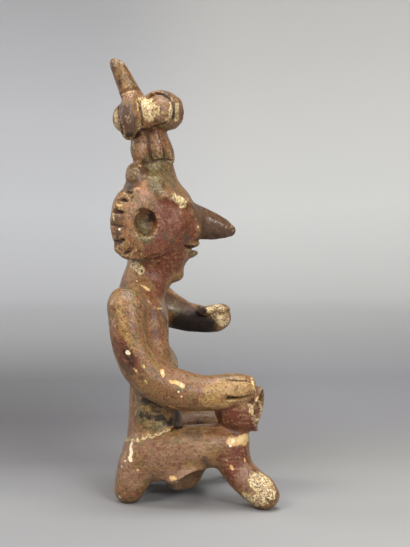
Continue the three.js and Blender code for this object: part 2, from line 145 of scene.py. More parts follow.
# Pellets pressed on both sides of the head and body: name, centre, size, tilt, turn.
PELLETS = (
    ("roll_side", (-19.6, 11.0, 238.0), (9.8, 11.4, 10.6), 0, 0),
    ("rear_band", (-37.9, 15.0, 235.0), (6.2, 7.4, 15.2), -3, 0),
    ("stem_back", (-31.0, 7.4, 215.0), (6.3, 6.4, 9.6), 0, 0),
    ("stem_back_top", (-30.6, 7.0, 225.0), (6.1, 6.2, 13.0), 0, 0),
    ("stem_side", (-20.8, 8.2, 215.4), (4.3, 4.9, 9.4), 0, 0),
    ("stem_side_top", (-22.0, 7.6, 225.0), (4.3, 5.0, 13.0), 0, 0),
    ("stem_front", (-15.8, 4.8, 214.6), (3.9, 4.6, 10.4), 16, 0),
    ("stem_front_top", (-19.6, 4.8, 225.0), (4.0, 5.0, 10.0), 12, 0),
    ("bun", (-33.6, 12.2, 197.6), (7.0, 8.6, 8.8), 0, 0),
    ("bun_root", (-35.4, 12.8, 188.6), (6.4, 8.8, 9.0), 0, 0),
    ("ear_root", (-25.0, 13.0, 188.0), (14.0, 11.2, 14.0), 0, 0),
    ("brow", (-16.2, 18.6, 186.4), (9.6, 5.0, 5.6), -26, 24),
    ("brow_end", (-5.8, 13.4, 183.0), (8.4, 4.8, 3.8), -14, 40),
    ("nose_root", (-2.0, 7.4, 169.6), (9.0, 6.6, 11.0), 0, 0),
    ("flap_side", (-6.0, 31.0, 22.4), (13.0, 10.0, 8.4), 0, 0),
    ("stem_fill", (-25.2, 6.0, 216.0), (4.6, 5.7, 13.0), 0, 0),
    ("stem_fill_front", (-17.8, 4.8, 216.0), (3.4, 5.4, 12.0), 8, 0),
)
for name, (x, y, z), size, tilt, turn in PELLETS:
    for side in TWO_SIDES:
        pressed_on.append(pellet(name, (x, side * y, z), size, tilt, -side * turn))

# The horn is a plain cone that leans back.
HORN_FOOT, HORN_END = Vector((-37.4, 0, 249.4)), Vector((-44.6, 0, 267.4))
HORN_THICK, HORN_THIN = 6.7, 3.2
horn_line = HORN_END - HORN_FOOT
bpy.ops.object.select_all(action="DESELECT")
bpy.ops.mesh.primitive_cone_add(
    vertices=HORN_SIDES, radius1=HORN_THICK * MM, radius2=HORN_THIN * MM, depth=horn_line.length * MM,
    location=(HORN_FOOT + HORN_END) / 2 * MM, rotation=horn_line.to_track_quat("Z", "Y").to_euler())
horn = bpy.context.object
horn.name = "horn"
bpy.ops.object.transform_apply(location=True, rotation=True, scale=True)
pressed_on.append(horn)

# Single pellets: the chin, the clay between right arm and chest, and the thumb and fingers of the raised
# hand.
pressed_on.append(pellet("chin", (-10.2, 0, 138.4), (5.8, 9.0, 5.4)))
pressed_on.append(pellet("arm_joint", (-28.0, -25.4, 103.0), (16.0, 6.6, 26.0), turn=62))
pressed_on.append(pellet("thumb", (10.2, 25.0, 112.2), (5.6, 4.4, 2.8), 10))
pressed_on.append(pellet("finger_tips", (18.6, 26.5, 112.6), (6.0, 5.6, 3.2), -12))

work_on(figure)
for piece in pressed_on:
    piece.select_set(True)
bpy.ops.object.join()

cast = figure.modifiers.new("cast", "REMESH")
cast.mode = "VOXEL"
cast.voxel_size = CLAY_GRID * MM
cast.use_smooth_shade = True
bpy.ops.object.modifier_apply(modifier=cast.name)

mesh = figure.data
vertex_count = len(mesh.vertices)
edge_ends = np.empty(2 * len(mesh.edges), dtype=np.int64)
mesh.edges.foreach_get("vertices", edge_ends)
first_end, second_end = edge_ends[0::2], edge_ends[1::2]
edges_at = np.bincount(edge_ends, minlength=vertex_count)


def take_points():
    """The points of the clay in millimetres."""
    flat = np.empty(3 * vertex_count, dtype=np.float64)
    mesh.vertices.foreach_get("co", flat)
    return flat.reshape(-1, 3) / MM


def put_points(points):
    mesh.vertices.foreach_set("co", (points * MM).ravel())
    mesh.update()
    bpy.context.view_layer.update()


def take_normals():
    flat = np.empty(3 * vertex_count, dtype=np.float64)
    mesh.vertices.foreach_get("normal", flat)
    return flat.reshape(-1, 3)


def beside(values):
    """The mean of each point's neighbours."""
    total = np.bincount(first_end, values[second_end], vertex_count)
    total += np.bincount(second_end, values[first_end], vertex_count)
    return total / edges_at


def eased(points, strength, rounds):
    """Points drawn towards their neighbours, as a wet finger evens clay."""
    points = points.copy()
    for _ in range(rounds):
        means = np.stack([beside(points[:, axis]) for axis in range(3)], axis=1)
        points += strength[:, None] * (means - points)
    return points


def ramp(values, low, high):
    """0 at low, 1 at high and a smooth rise between them."""
    t = np.clip((values - low) / (high - low), 0, 1)
    return t * t * (3 - 2 * t)


def near(points, centre, size):
    """1 inside an oval and 0 from its outer edge on."""
    reach = np.linalg.norm((points - np.array(centre)) / np.array(size), axis=1)
    return 1 - ramp(reach, 1, OUTER_EDGE)


# Small shapes are evened less than the broad ones: lips, ears, roll and horn, fingers and jar. Each row:
# the share of the evening that it is spared, centre, reach.
FINE_WORK = (
    (0.95, (1, 0, 154), (9, 12, 6)),
    (0.80, (19, 0, 168), (12, 9, 10)),
    (0.86, (-32, -24, 171), (18, 9, 24)),
    (0.86, (-32, 24, 171), (18, 9, 24)),
    (0.93, (-27, 0, 237), (26, 26, 15)),
    (0.35, (-44, 0, 263), (10, 9, 9)),
    (0.93, (-24, 0, 216), (16, 16, 12)),
    (0.86, (-35, 0, 197), (11, 22, 11)),
    (0.93, (34, -36, 68), (16, 18, 17)),
    (0.80, (17, 29, 110), (13, 12, 10)),
)
points = take_points()

# Places pushed with the palm: centre, reach, how far it moved, and whether the far side has the same.
PUSHES = (
    ((-3.5, -29, 12), (14, 17, 9), (-4.6, 0, 0), True),
    ((0.5, -30, 14), (8, 15, 7), (-1.6, 0, 3.8), True),
    ((32, -38, 38), (7, 13, 13), (2.0, 0, 0), True),
    ((-1, -35, 17), (11, 8, 7), (0, -3.0, 0), True),
    ((7, -31, 17), (5, 12, 6), (-2.4, 0, 1.5), True),
    ((41, -41, 20), (6, 10, 6), (0.8, 0, 1.2), True),
    ((-4.8, 30, 120.4), (10, 12, 6), (0, 0, -2.2), False),
    ((23, 26, 110), (7, 10, 9), (1.6, 0, 0.7), False),
    ((-8.6, -10, 236), (9, 14, 9), (0.9, 0, -0.2), True),
    ((-20.5, -6, 250), (12, 14, 7), (0, 0, -0.7), True),
    ((-16.0, -8, 99.6), (6, 16, 10), (-1.6, 0, 0), True),
    ((33.6, -38, 74), (6, 9, 9), (1.0, 0, 0), False),
    ((-49.3, -36, 130.4), (9, 12, 9), (-1.1, 0, 1.0), False),
    ((-42.1, -27, 152.8), (6, 6, 6), (-1.5, 0, -1.3), True),
    ((-13.2, -4, 208), (6, 8, 11), (0.5, 0, 0), True),
)
for centre, reach, move, both in PUSHES:
    for flip in TWO_SIDES if both else (1,):
        turned = np.array((1, flip, 1))
        points += near(points, np.array(centre) * turned, reach)[:, None] * (np.array(move) * turned)
fine_work = np.maximum.reduce([share * near(points, centre, size) for share, centre, size in FINE_WORK])
strength = CLAY_EASE * (1 - fine_work)
# What the second round takes off is given back, so that the clay doesn't shrink.
once = eased(points, strength, EASE_ROUNDS)
twice = eased(once, strength, EASE_ROUNDS)
points = 2 * once - twice
points[:, 2] = np.maximum(points[:, 2], 0)
put_points(points)


# Hand tooling. The potter cut notches, flutes, finger lines and creases into the leather-hard clay with
# a stick. Their places and the trace step are given in pixels of the photograph's frame, and found on the
# clay by a line of sight.
across = Vector((math.cos(VIEW_TURN), math.sin(VIEW_TURN), 0))
upward = to_camera.cross(across)
TRACE_STEP = 3.0
FAR_AWAY = 1e6
NO_LENGTH = 1e-9


def seen_at(frame_x, frame_y):
    """The point of the clay that shows at a place in the photograph's frame."""
    ray = (
        across * ((frame_x - FRAME_WIDE / 2) / FOCAL_IN_FRAME)
        + upward * ((FRAME_HIGH / 2 - frame_y) / FOCAL_IN_FRAME)
        - to_camera
    ).normalized()
    hit, place, _, _ = figure.ray_cast(camera_point * MM, ray)
    return place / MM if hit else None


def traced(spots):
    """A line of the photograph's frame, followed over the clay in short steps."""
    steps = [spots[0]]
    for start, end in zip(spots[:-1], spots[1:]):
        count = max(1, round(math.dist(start, end) / TRACE_STEP))
        steps += [tuple(a + (b - a) * k / count for a, b in zip(start, end)) for k in range(1, count + 1)]
    places = [seen_at(*step) for step in steps]
    return [place for place in places if place is not None]


def brought_to(places):
    """Places near the clay, brought onto it."""
    found = [figure.closest_point_on_mesh(Vector(place) * MM) for place in places]
    return [spot[1] / MM for spot in found if spot[0]]


def worked(spots, both):
    """A line followed over the clay, and its twin on the far side where it has one."""
    places = traced(spots)
    if both and places:
        return [places, brought_to([(place.x, -place.y, place.z) for place in places])]
    return [places] if places else []


def away_from(points, places, reach):
    """Distance from each point to a line of places, and FAR_AWAY beyond reach."""
    distance = np.full(len(points), FAR_AWAY)
    places = np.array([tuple(place) for place in places])
    inside = np.all((points > places.min(axis=0) - reach) & (points < places.max(axis=0) + reach), axis=1)
    chosen = points[inside]
    nearest = np.linalg.norm(chosen - places[0], axis=1)
    for start, end in zip(places[:-1], places[1:]):
        run = end - start
        share = np.clip((chosen - start) @ run / max(run @ run, NO_LENGTH), 0, 1)
        nearest = np.minimum(nearest, np.linalg.norm(chosen - start - share[:, None] * run, axis=1))
    distance[inside] = nearest
    return distance


# Tooled lines: where, width, depth, and whether the far side has the same.
CUTS = (
    ([(139.8, 101), (140.6, 110), (141.8, 118), (142.4, 126)], 1.5, 1.0, True),
    ([(156, 93.0), (164, 94.4), (169.7, 98.6), (173, 104), (174, 110), (173.3, 119)], 1.3, 1.3, True),
    ([(118.4, 102), (118.4, 112), (120.2, 124), (122.2, 134)], 1.9, 2.0, True),
    ([(140.4, 127), (139.4, 132), (135.4, 137.6), (129, 140.8)], 1.6, 1.2, True),
    ([(142, 130.6), (151, 128.4), (160, 125.4), (166, 122)], 1.2, 0.8, True),
    ([(120.0, 94.4), (126.6, 90.2), (136, 88.6), (143, 90.6)], 1.7, 0.9, True),
    ([(200.6, 307), (202.4, 311), (206, 313.6), (210, 314)], 1.0, 0.5, False),
    ([(146.6, 132), (148.2, 139), (149.4, 147), (150.4, 154), (150.6, 160)], 1.6, 0.9, True),
    ([(158.8, 132), (161.2, 139), (163.5, 147), (165.0, 153), (165, 158.6)], 1.5, 0.9, True),
    ([(135, 163.3), (146, 163.1), (152, 161.4), (157, 160.7), (163, 159.8), (171.5, 160.8)],
     1.3, 1.0, True),
    ([(121.6, 191), (126, 191.8), (131.4, 193)], 1.1, 1.1, True),
    ([(116, 199.8), (121, 200), (127.2, 201)], 1.2, 1.2, True),
    ([(113.4, 212), (118, 212.5), (123.4, 212.4)], 1.2, 1.2, True),
    ([(112.2, 225), (117, 226.2), (122.2, 226.4)], 1.1, 1.1, True),
    ([(114.8, 241.8), (119, 241.4), (123.4, 240)], 1.2, 1.3, True),
    ([(125.4, 253), (129, 251.2), (132.6, 249)], 1.1, 1.0, True),
    ([(133.4, 260.6), (136.6, 259.4), (139.4, 257)], 1.1, 1.0, True),
    ([(133, 262.4), (139.4, 260.6), (145.5, 258.4), (154, 255.4), (159, 255)], 1.3, 0.5, True),
    ([(185.4, 246.4), (188.5, 246.8), (192.4, 247.4)], 1.5, 2.6, True),
    ([(229.4, 380.3), (237, 380.8), (246.3, 380.7), (252.6, 382.4)], 1.0, 0.7, False),
    ([(228.2, 396.3), (234.9, 397.1), (240.4, 396.9), (248, 395.9), (254.6, 395)], 1.0, 0.7, False),
    ([(249.6, 377), (253, 385.4), (255, 390), (255, 396), (252.6, 400.6), (248.6, 404)], 1.0, 0.5, False),
)

# Places pressed in with a thumb: where, half the width, depth, and whether the far side has the same.
PRESSES = (
    ([(145, 136)], 2.6, 1.2, True),
    ([(171.8, 337), (171.8, 345)], 6.0, 2.3, True),
    ([(161, 206), (168, 208)], 5.0, 0.8, True),
    ([(119.5, 137)], 3.0, 2.2, True),
    ([(153, 302), (156, 318), (158, 336)], 6.0, 1.3, False),
    ([(146, 222)], 5.0, 0.6, True),
)

# A groove has half its depth left at half its width.
GROOVE_FALL = 0.7
normals = take_normals()
sunk = np.zeros(vertex_count)
for spots, reach, depth, both in PRESSES:
    for line in worked(spots, both):
        sunk += depth * (1 - ramp(away_from(points, line, 2 * reach), 0, 2 * reach))
points = points - normals * sunk[:, None]
put_points(points)
normals = take_normals()
sunk = np.zeros(vertex_count)
for spots, width, depth, both in CUTS:
    for line in worked(spots, both):
        away = away_from(points, line, 2 * width)
        sunk = np.maximum(sunk, depth * np.exp(-GROOVE_FALL * (2 * away / width) ** 2))
points = points - normals * sunk[:, None]

# Coil walls are never quite even: the length of a wave, its height and where it starts. The worn
# undersides stay flat.
FLAT_BELOW, FREE_ABOVE = 0.5, 5
WAVES = ((17, 0.42, 3.0), (6.5, 0.18, 11.0), (2.6, 0.07, 23.0))
lift = np.zeros(vertex_count)
for length, height, offset in WAVES:
    start = Vector((offset, offset, offset))
    lift += height * np.array([noise.noise(Vector(p) / length + start) for p in points])
points = points + normals * (lift * ramp(points[:, 2], FLAT_BELOW, FREE_ABOVE))[:, None]
points[:, 2] = np.maximum(points[:, 2], 0)
put_points(points)


# Slip and wear. The clay was coated with iron-red slip and burnished with a stone. Long burial stained
# it green and dark, rubbed it to buff on the high places and chipped it to cream clay. Some of the marks
# below are painted shade and painted highlights, laid on with the same brushes.

# Creases and crests are where the clay lies below or above its own smoothed shape.
FINE_ROUNDS, BROAD_ROUNDS = 12, 90
FINE_HOLLOW, BROAD_HOLLOW, FINE_CREST = 0.32, 1.6, 0.16
FINE_SHARE, BROAD_SHARE = 0.75, 0.3
normals = take_normals()
all_over = np.full(vertex_count, CLAY_EASE)
hollow_fine = np.sum((eased(points, all_over, FINE_ROUNDS) - points) * normals, axis=1)
hollow_broad = np.sum((eased(points, all_over, BROAD_ROUNDS) - points) * normals, axis=1)
crease = np.clip(hollow_fine / FINE_HOLLOW, 0, 1) * FINE_SHARE
crease += np.clip(hollow_broad / BROAD_HOLLOW, 0, 1) * BROAD_SHARE
crest = np.clip(-hollow_fine / FINE_CREST, 0, 1)

# The edges of stains and wear wander with a fine grain and a broad one.
GRAIN_LENGTH, PATCH_LENGTH, PATCH_SHARE = 2.2, 7, 0.6
PATCH_START = Vector((5, 5, 5))
grain = np.array([noise.noise(Vector(p) / GRAIN_LENGTH) for p in points])
patch = np.array([noise.noise(Vector(p) / PATCH_LENGTH + PATCH_START) for p in points])
uneven = grain + PATCH_SHARE * patch

# Where each colour lies: points of the photograph's frame, radius, strength.
RED = [
    ([(172, 206), (168, 212)], 7, 1.0), ([(170, 216), (178, 230)], 12, 1.0),
    ([(186, 214), (190, 234)], 6, 0.95), ([(158, 248), (172, 262)], 10, 0.9),
    ([(183, 238), (180, 250)], 5, 0.9), ([(164, 222), (160, 232)], 4, 0.6),
    ([(150, 270), (158, 278)], 6, 0.9), ([(162, 268), (160, 290)], 6, 1.0),
    ([(150, 290), (156, 296)], 5, 0.6), ([(154, 298), (158, 334)], 6, 0.65),
    ([(112, 300), (113, 350)], 3, 0.4), ([(122, 348), (130, 364)], 7, 0.8),
    ([(132, 412), (136, 424)], 3.4, 0.6), ([(142, 418), (146, 426)], 2.4, 0.5),
    ([(140, 470), (134, 488)], 6, 0.3), ([(150, 452), (176, 456)], 8, 0.5),
    ([(228, 460), (238, 476)], 8, 0.9), ([(238, 450), (240, 462)], 7, 0.9),
    ([(168, 478), (190, 470)], 5, 0.4), ([(222, 412), (246, 412)], 5, 0.9),
    ([(228, 420), (244, 426)], 9, 1.0), ([(181.6, 104), (182.4, 114)], 2.6, 1.0),
    ([(114, 72), (117, 84)], 2.4, 0.6), ([(152, 131), (160, 130)], 3, 0.8),
    ([(147.6, 134), (149.6, 152)], 2.0, 1.0), ([(158.6, 134), (164, 151)], 2.0, 1.0),
    ([(136, 174), (140, 186)], 3, 0.4),
]
RUST = [
    ([(119, 86), (123, 91), (127, 88)], 3, 0.8), ([(142, 182), (149, 189)], 4, 0.9),
    ([(137, 188), (146, 195)], 4, 0.9), ([(134, 202), (146, 200)], 3, 0.6),
    ([(131, 206), (128, 228), (131, 246)], 4, 0.7), ([(156, 240), (150, 250)], 3, 0.5),
    ([(164, 238), (170, 236)], 3, 0.5), ([(150, 286), (156, 292)], 4, 0.5),
    ([(150, 332), (160, 342)], 4, 0.6), ([(156, 350), (166, 360)], 4, 0.4),
    ([(130, 348), (141, 356)], 4, 0.6), ([(140, 446), (206, 450)], 6, 0.35),
    ([(192, 474), (204, 470)], 4, 0.9), ([(232, 440), (246, 440)], 4, 0.8),
    ([(236, 470), (244, 478)], 4, 0.5), ([(120, 480), (130, 494)], 4, 0.4),
    ([(196, 236), (192, 244)], 3, 0.7), ([(191, 243), (196, 244)], 2, 0.7),
    ([(152, 452), (176, 456)], 5, 0.5), ([(216, 405), (236, 405)], 2.4, 0.6),
]
# Pale mauve-grey tones, and painted highlights on the bun's left edge, the brow and the nose ridge.
PALE_AND_HIGHLIGHTS = [
    ([(120, 103), (123, 105)], 3, 1.0), ([(127, 100), (131, 97)], 3, 0.7),
    ([(157, 98), (166, 104)], 4, 0.9), ([(156, 116), (164, 118)], 4, 0.8),
    ([(140, 146), (142, 156)], 4, 0.8), ([(151, 138), (156, 152)], 5, 0.8),
    ([(158, 138), (161, 146)], 3, 0.8), ([(127, 171), (134, 164)], 2.4, 0.9),
    ([(116, 59), (119, 67)], 2.2, 0.7), ([(163, 192), (170, 197)], 3.4, 1.0),
    ([(196, 205), (200, 213)], 4, 1.0), ([(205, 210), (214, 217), (226, 224)], 1.5, 0.7),
    ([(154, 203), (156, 209)], 3, 0.8), ([(146, 199), (152, 201)], 2.6, 0.7),
    ([(185, 258), (183, 264)], 2.5, 0.8), ([(126, 276), (134, 278)], 5, 0.7),
    ([(116, 296), (120, 290), (130, 288)], 5, 0.5), ([(150, 312), (153, 316)], 3, 0.4),
    ([(150, 462), (196, 452)], 6, 0.8), ([(152, 476), (186, 475)], 6, 0.8),
    ([(168, 484), (181, 485)], 3, 0.8), ([(240, 480), (248, 483)], 5, 0.8),
    ([(246, 472), (252, 488)], 6, 1.0), ([(222, 438), (208, 442)], 5, 0.4),
    ([(190, 390), (200, 400)], 6, 0.5), ([(150, 364), (156, 372)], 5, 0.4),
    ([(256, 404), (261, 414)], 3.5, 0.9), ([(190, 416), (206, 414)], 4, 0.5),
    ([(248, 496), (258, 503)], 4, 0.6), ([(258, 382), (261, 394)], 3, 0.6),
    ([(124, 468), (132, 482)], 7, 0.9), ([(118, 206), (126, 208)], 2, 0.5),
]
OLIVE = [
    ([(118, 62), (124, 76), (131, 88)], 3.2, 0.85), ([(130, 104), (133, 118)], 2.2, 0.6),
    ([(150, 122), (160, 121)], 3, 0.6), ([(176, 122), (170, 127)], 3, 0.6),
    ([(154, 156), (167, 157)], 3, 0.9), ([(145, 168), (146, 176)], 3, 0.8),
    ([(152, 164), (158, 184)], 7.5, 1.0), ([(136, 168), (132, 178)], 6, 0.8),
    ([(168, 162), (172, 184)], 4, 0.9), ([(160, 166), (164, 178)], 5, 0.9),
    ([(172, 188), (176, 192)], 3, 0.5), ([(140, 226), (146, 236)], 6, 1.0),
    ([(147, 218), (150, 226)], 3, 0.6), ([(120, 236), (118, 216)], 3, 0.4),
    ([(190, 250.6), (197, 252)], 3.4, 1.0), ([(124, 286), (132, 292)], 5, 0.8),
    ([(140, 296), (138, 306)], 4, 0.5), ([(171, 302), (178, 310)], 5, 0.9),
    ([(182, 306), (196, 311)], 4, 0.7), ([(142, 318), (146, 336)], 5, 0.5),
    ([(140, 398), (158, 408)], 6, 0.8), ([(140, 412), (156, 424)], 7, 1.0),
    ([(166, 408), (174, 412)], 4, 0.5), ([(166, 424), (160, 430)], 4, 0.8),
    ([(205, 430), (176, 434)], 5, 0.7), ([(200, 474), (204, 469)], 2.6, 0.8),
    ([(190, 478), (198, 474)], 3, 0.6), ([(208, 311), (214, 318)], 3, 0.6),
    ([(218, 322), (212, 326)], 3, 0.7), ([(120, 392), (120, 420)], 4, 0.4),
    ([(205, 446), (208, 456)], 3, 0.4), ([(126, 320), (132, 334)], 4, 0.4),
    ([(184, 202), (188, 204)], 2.6, 0.6),
]
GOLD = [
    ([(119.5, 302), (120.6, 316), (123.6, 328), (128, 338), (134, 346)], 2.6, 1.0),
    ([(122, 298), (128, 306)], 2, 0.7), ([(212, 393), (222, 387), (240, 388)], 7, 0.9),
    ([(240, 380), (250, 384)], 4, 0.8), ([(200, 399), (214, 404), (232, 402)], 4, 0.85),
    ([(214, 312), (224, 318)], 6, 1.0), ([(133, 266), (140, 272)], 4, 0.8),
    ([(177, 197), (182, 203)], 3.6, 0.9), ([(181, 206), (180.6, 217)], 1.6, 0.7),
    ([(121, 66), (128, 88)], 3, 0.7), ([(132, 438), (165, 432)], 2.2, 0.8),
    ([(154, 405), (159, 408)], 2.0, 1.0), ([(162, 410), (170, 414)], 2.2, 1.0),
    ([(146, 407), (150, 410)], 2.2, 1.0), ([(148, 423), (154, 422)], 2, 0.9),
    ([(144, 412), (148, 414)], 1.4, 0.9), ([(140, 404)], 1.3, 0.8), ([(150, 423)], 1.3, 0.8),
    ([(134, 408)], 1.3, 0.8), ([(126, 366)], 1.2, 0.7), ([(148, 312), (150, 330)], 4, 0.3),
    ([(162, 236), (170, 236)], 3, 0.5), ([(146, 144), (144, 156)], 2, 0.6),
    ([(162, 262), (166, 270)], 2, 0.3), ([(150, 368), (160, 378)], 3, 0.4),
]
UMBER = [
    ([(207, 212), (217, 221), (229, 231)], 12, 1.0), ([(205, 222), (208, 236)], 5, 1.0),
    ([(231, 228), (233, 233)], 7, 1.0), ([(111.6, 60), (112.6, 72)], 2.4, 0.8),
    ([(121, 112), (129, 121)], 5.5, 1.0), ([(128, 116), (130, 128)], 4.4, 0.9),
    ([(126, 107), (132, 112)], 3, 0.6), ([(164, 92.6), (172, 95)], 2.4, 0.7),
    ([(156, 120), (164, 121)], 2.4, 0.5), ([(140, 170), (133, 180)], 6.5, 0.55),
    ([(128, 182), (131, 188)], 4, 0.7), ([(172, 168), (176, 186)], 3, 0.5),
    ([(116, 210), (115, 226), (117, 240)], 3.2, 0.8), ([(134, 216), (136, 224)], 2.4, 0.6),
    ([(163, 186), (168, 189)], 3, 0.5), ([(166, 236), (172, 242)], 3.4, 0.6),
    ([(184, 236), (188, 240)], 3, 0.6), ([(170, 298), (190, 309)], 4.4, 0.8),
    ([(186, 434), (198, 434)], 4, 0.6), ([(204, 458), (208, 466)], 3.4, 0.7),
    ([(114, 340), (118, 352)], 4, 0.5), ([(122, 364), (130, 372)], 4, 0.7),
    ([(156, 322), (152, 314)], 3, 0.4), ([(136, 378), (144, 382)], 4, 0.4),
    ([(120, 100), (118, 108)], 1.5, 0.4), ([(228, 428), (236, 431)], 3, 0.6),
    ([(153, 308), (157, 332)], 4, 0.6), ([(134, 398), (140, 402)], 3, 0.5),
]
# Dark stains, and painted shade: on the torso and hip under the forearm, in the ear cup, under the brow,
# nose, bun and top-knot, beneath the flap and along the back edge of the right arm.
DARK_STAIN_AND_SHADE = [
    ([(127, 133), (130, 135)], 2.6, 0.6), ([(137.6, 135), (138.6, 141)], 1.6, 0.9),
    ([(151, 212), (151.6, 219)], 2.6, 0.9), ([(180, 433), (205, 431)], 3, 0.35),
    ([(156, 292), (157, 298)], 3, 0.35), ([(199, 307), (202, 311)], 2.4, 0.9),
    ([(203, 304.6), (206, 305)], 1.6, 0.7), ([(206, 236), (216, 237.4)], 2.6, 0.5),
    ([(126, 348), (131, 360)], 4, 0.6), ([(142, 396), (150, 400)], 3, 0.55),
    ([(138, 394), (134, 391)], 2.6, 0.8), ([(141, 414), (150, 417)], 2.6, 0.9),
    ([(168, 424), (176, 418)], 2.6, 0.8), ([(143, 397), (149, 402)], 2.8, 0.9),
    ([(157, 419), (162, 417)], 2, 0.8), ([(164, 405), (170, 408)], 1.8, 0.6),
    ([(177, 414), (179, 427)], 3.4, 1.0), ([(171, 206), (174, 212)], 2.4, 0.3),
    ([(169, 222), (175, 231)], 5, 0.35), ([(236, 462), (242, 472)], 4, 0.35),
    ([(119, 76), (120, 88)], 1.6, 0.7), ([(116, 232), (120, 247)], 3, 0.5),
    ([(220, 414), (222, 422)], 3, 0.6), ([(254, 377)], 1.5, 0.8), ([(111, 322), (113, 346)], 2.0, 0.4),
    ([(128, 188), (131, 191)], 2, 0.7), ([(172, 204), (170, 209)], 3, 0.35),
    ([(176, 238), (182, 239)], 3, 0.4), ([(191, 251), (197, 252.6)], 1.6, 0.45),
    ([(213, 235), (230, 237)], 2.4, 0.5), ([(130, 214), (132, 232)], 1.4, 0.3),
    ([(196, 470), (202, 474)], 2, 0.5),
]
# Painted shade: near-black under the raised forearm, where its shadow falls.
RAISED_FOREARM_SHADE = [
    ([(182, 323), (206, 325)], 6.5, 1.0), ([(180, 328), (202, 331)], 6, 1.0),
    ([(188, 317), (198, 319)], 4, 1.0),
]
# Cream where the slip is worn or chipped, and painted highlights: the glint on the brow and the line down
# the back of the right upper arm; the light line down the chest's front edge is both.
CREAM_AND_HIGHLIGHTS = [
    ([(167.6, 196), (173.6, 200)], 1.3, 1.0), ([(177, 198), (182, 203)], 3.6, 1.0),
    ([(163, 193.6), (166, 194.6)], 1.4, 0.7), ([(145.6, 101), (149, 108), (150, 115)], 4.6, 0.95),
    ([(154, 106), (158, 112)], 4, 0.8), ([(156, 97.4), (164, 99)], 2.4, 0.5),
    ([(170.4, 104), (171.4, 114)], 2.2, 1.0), ([(168, 118), (164, 122)], 2, 0.8),
    ([(115, 115), (116.6, 127)], 3, 0.9), ([(176.6, 104), (176.8, 119)], 2.6, 1.0),
    ([(174, 121), (170, 125)], 1.8, 0.7), ([(121, 102), (122.6, 105)], 1.8, 0.8),
    ([(136.4, 100), (139, 116), (139.6, 128)], 0.9, 0.9),
    ([(120.2, 96.4), (126.8, 92.6), (136, 91), (142.8, 92.8)], 0.9, 0.9),
    ([(215, 310), (224, 319)], 5.6, 1.0), ([(216, 306), (222, 309)], 2.4, 0.6),
    ([(164, 143), (163.6, 150)], 1.6, 0.4), ([(260, 480), (267, 492)], 7, 1.0),
    ([(262, 498), (252, 501)], 5, 1.0), ([(244, 495), (252, 500)], 3, 0.9),
    ([(134, 265), (138, 268), (141, 272)], 2.8, 1.0), ([(139, 283.5), (149, 290)], 1.3, 0.9),
    ([(126, 439.6), (136, 440.6), (150, 437.2), (169, 430)], 1.8, 1.0),
    ([(150, 312), (152, 312.6)], 0.8, 0.7),
    ([(251, 377), (254, 385.4), (255.6, 392), (255.4, 398)], 1.0, 1.0),
    ([(256.4, 398), (253.9, 401.8), (249.2, 405)], 1.0, 1.0),
    ([(249.6, 405), (251, 410), (253.4, 415), (257, 419.6)], 1.9, 1.0),
    ([(257, 399), (260, 404), (261, 412)], 2.0, 0.9), ([(162, 296), (161, 301)], 0.7, 0.9),
    ([(164.6, 305), (164.3, 318), (166.6, 328)], 0.8, 0.8),
    ([(168.4, 330), (168, 336), (168.2, 343), (171, 352), (175, 361), (177.6, 367)], 0.9, 1.0),
    ([(113.2, 214), (113.6, 219)], 1.2, 0.8), ([(112, 228), (119, 229)], 1.0, 0.8),
    ([(116, 204), (122, 206)], 1.2, 0.7), ([(117, 244.4), (122, 243.4)], 1.0, 0.7),
    ([(122, 255), (128, 256)], 1.2, 0.8), ([(163.5, 158.6), (171, 160)], 1.0, 0.7),
    ([(236, 388), (248, 389)], 3.4, 0.6), ([(234, 399.6), (250, 400)], 1.6, 0.6),
    ([(148, 462), (174, 459)], 5, 0.35), ([(144.5, 237), (151, 235), (155, 230)], 0.7, 0.8),
    ([(168, 378), (180, 382)], 4, 0.4), ([(206, 400), (216, 398)], 4, 0.4),
    ([(111.8, 304), (113, 318), (117, 332)], 0.8, 0.6),
]
BRUISES = [
    ([(230.5, 441.4), (238, 441), (245, 437.4), (248, 437)], 2.3, 1),
    ([(244, 443), (247, 441)], 1.4, 0.9), ([(162, 371), (163, 375)], 1.3, 1),
    ([(171, 381.6), (177, 382.6), (183.4, 386)], 1.3, 1), ([(170.6, 477.4), (174.6, 478.2)], 1.4, 1),
    ([(140, 284), (143.5, 286.4), (148, 289)], 0.8, 0.9), ([(143.6, 365.6), (145, 367.4)], 0.7, 1),
    ([(145.4, 380.6), (147, 382.6)], 0.7, 1), ([(230.8, 466.6), (232.8, 469)], 0.9, 1),
    ([(244.6, 455), (245, 461.6)], 0.5, 1), ([(170, 406.4), (176.4, 408.8)], 0.6, 1),
    ([(158, 308.6), (161.8, 308.4)], 0.5, 1), ([(137.6, 469.6)], 0.6, 1),
    ([(133.4, 368.4), (136.6, 371.4)], 0.5, 1), ([(118, 205), (121, 205.4)], 0.7, 1),
]
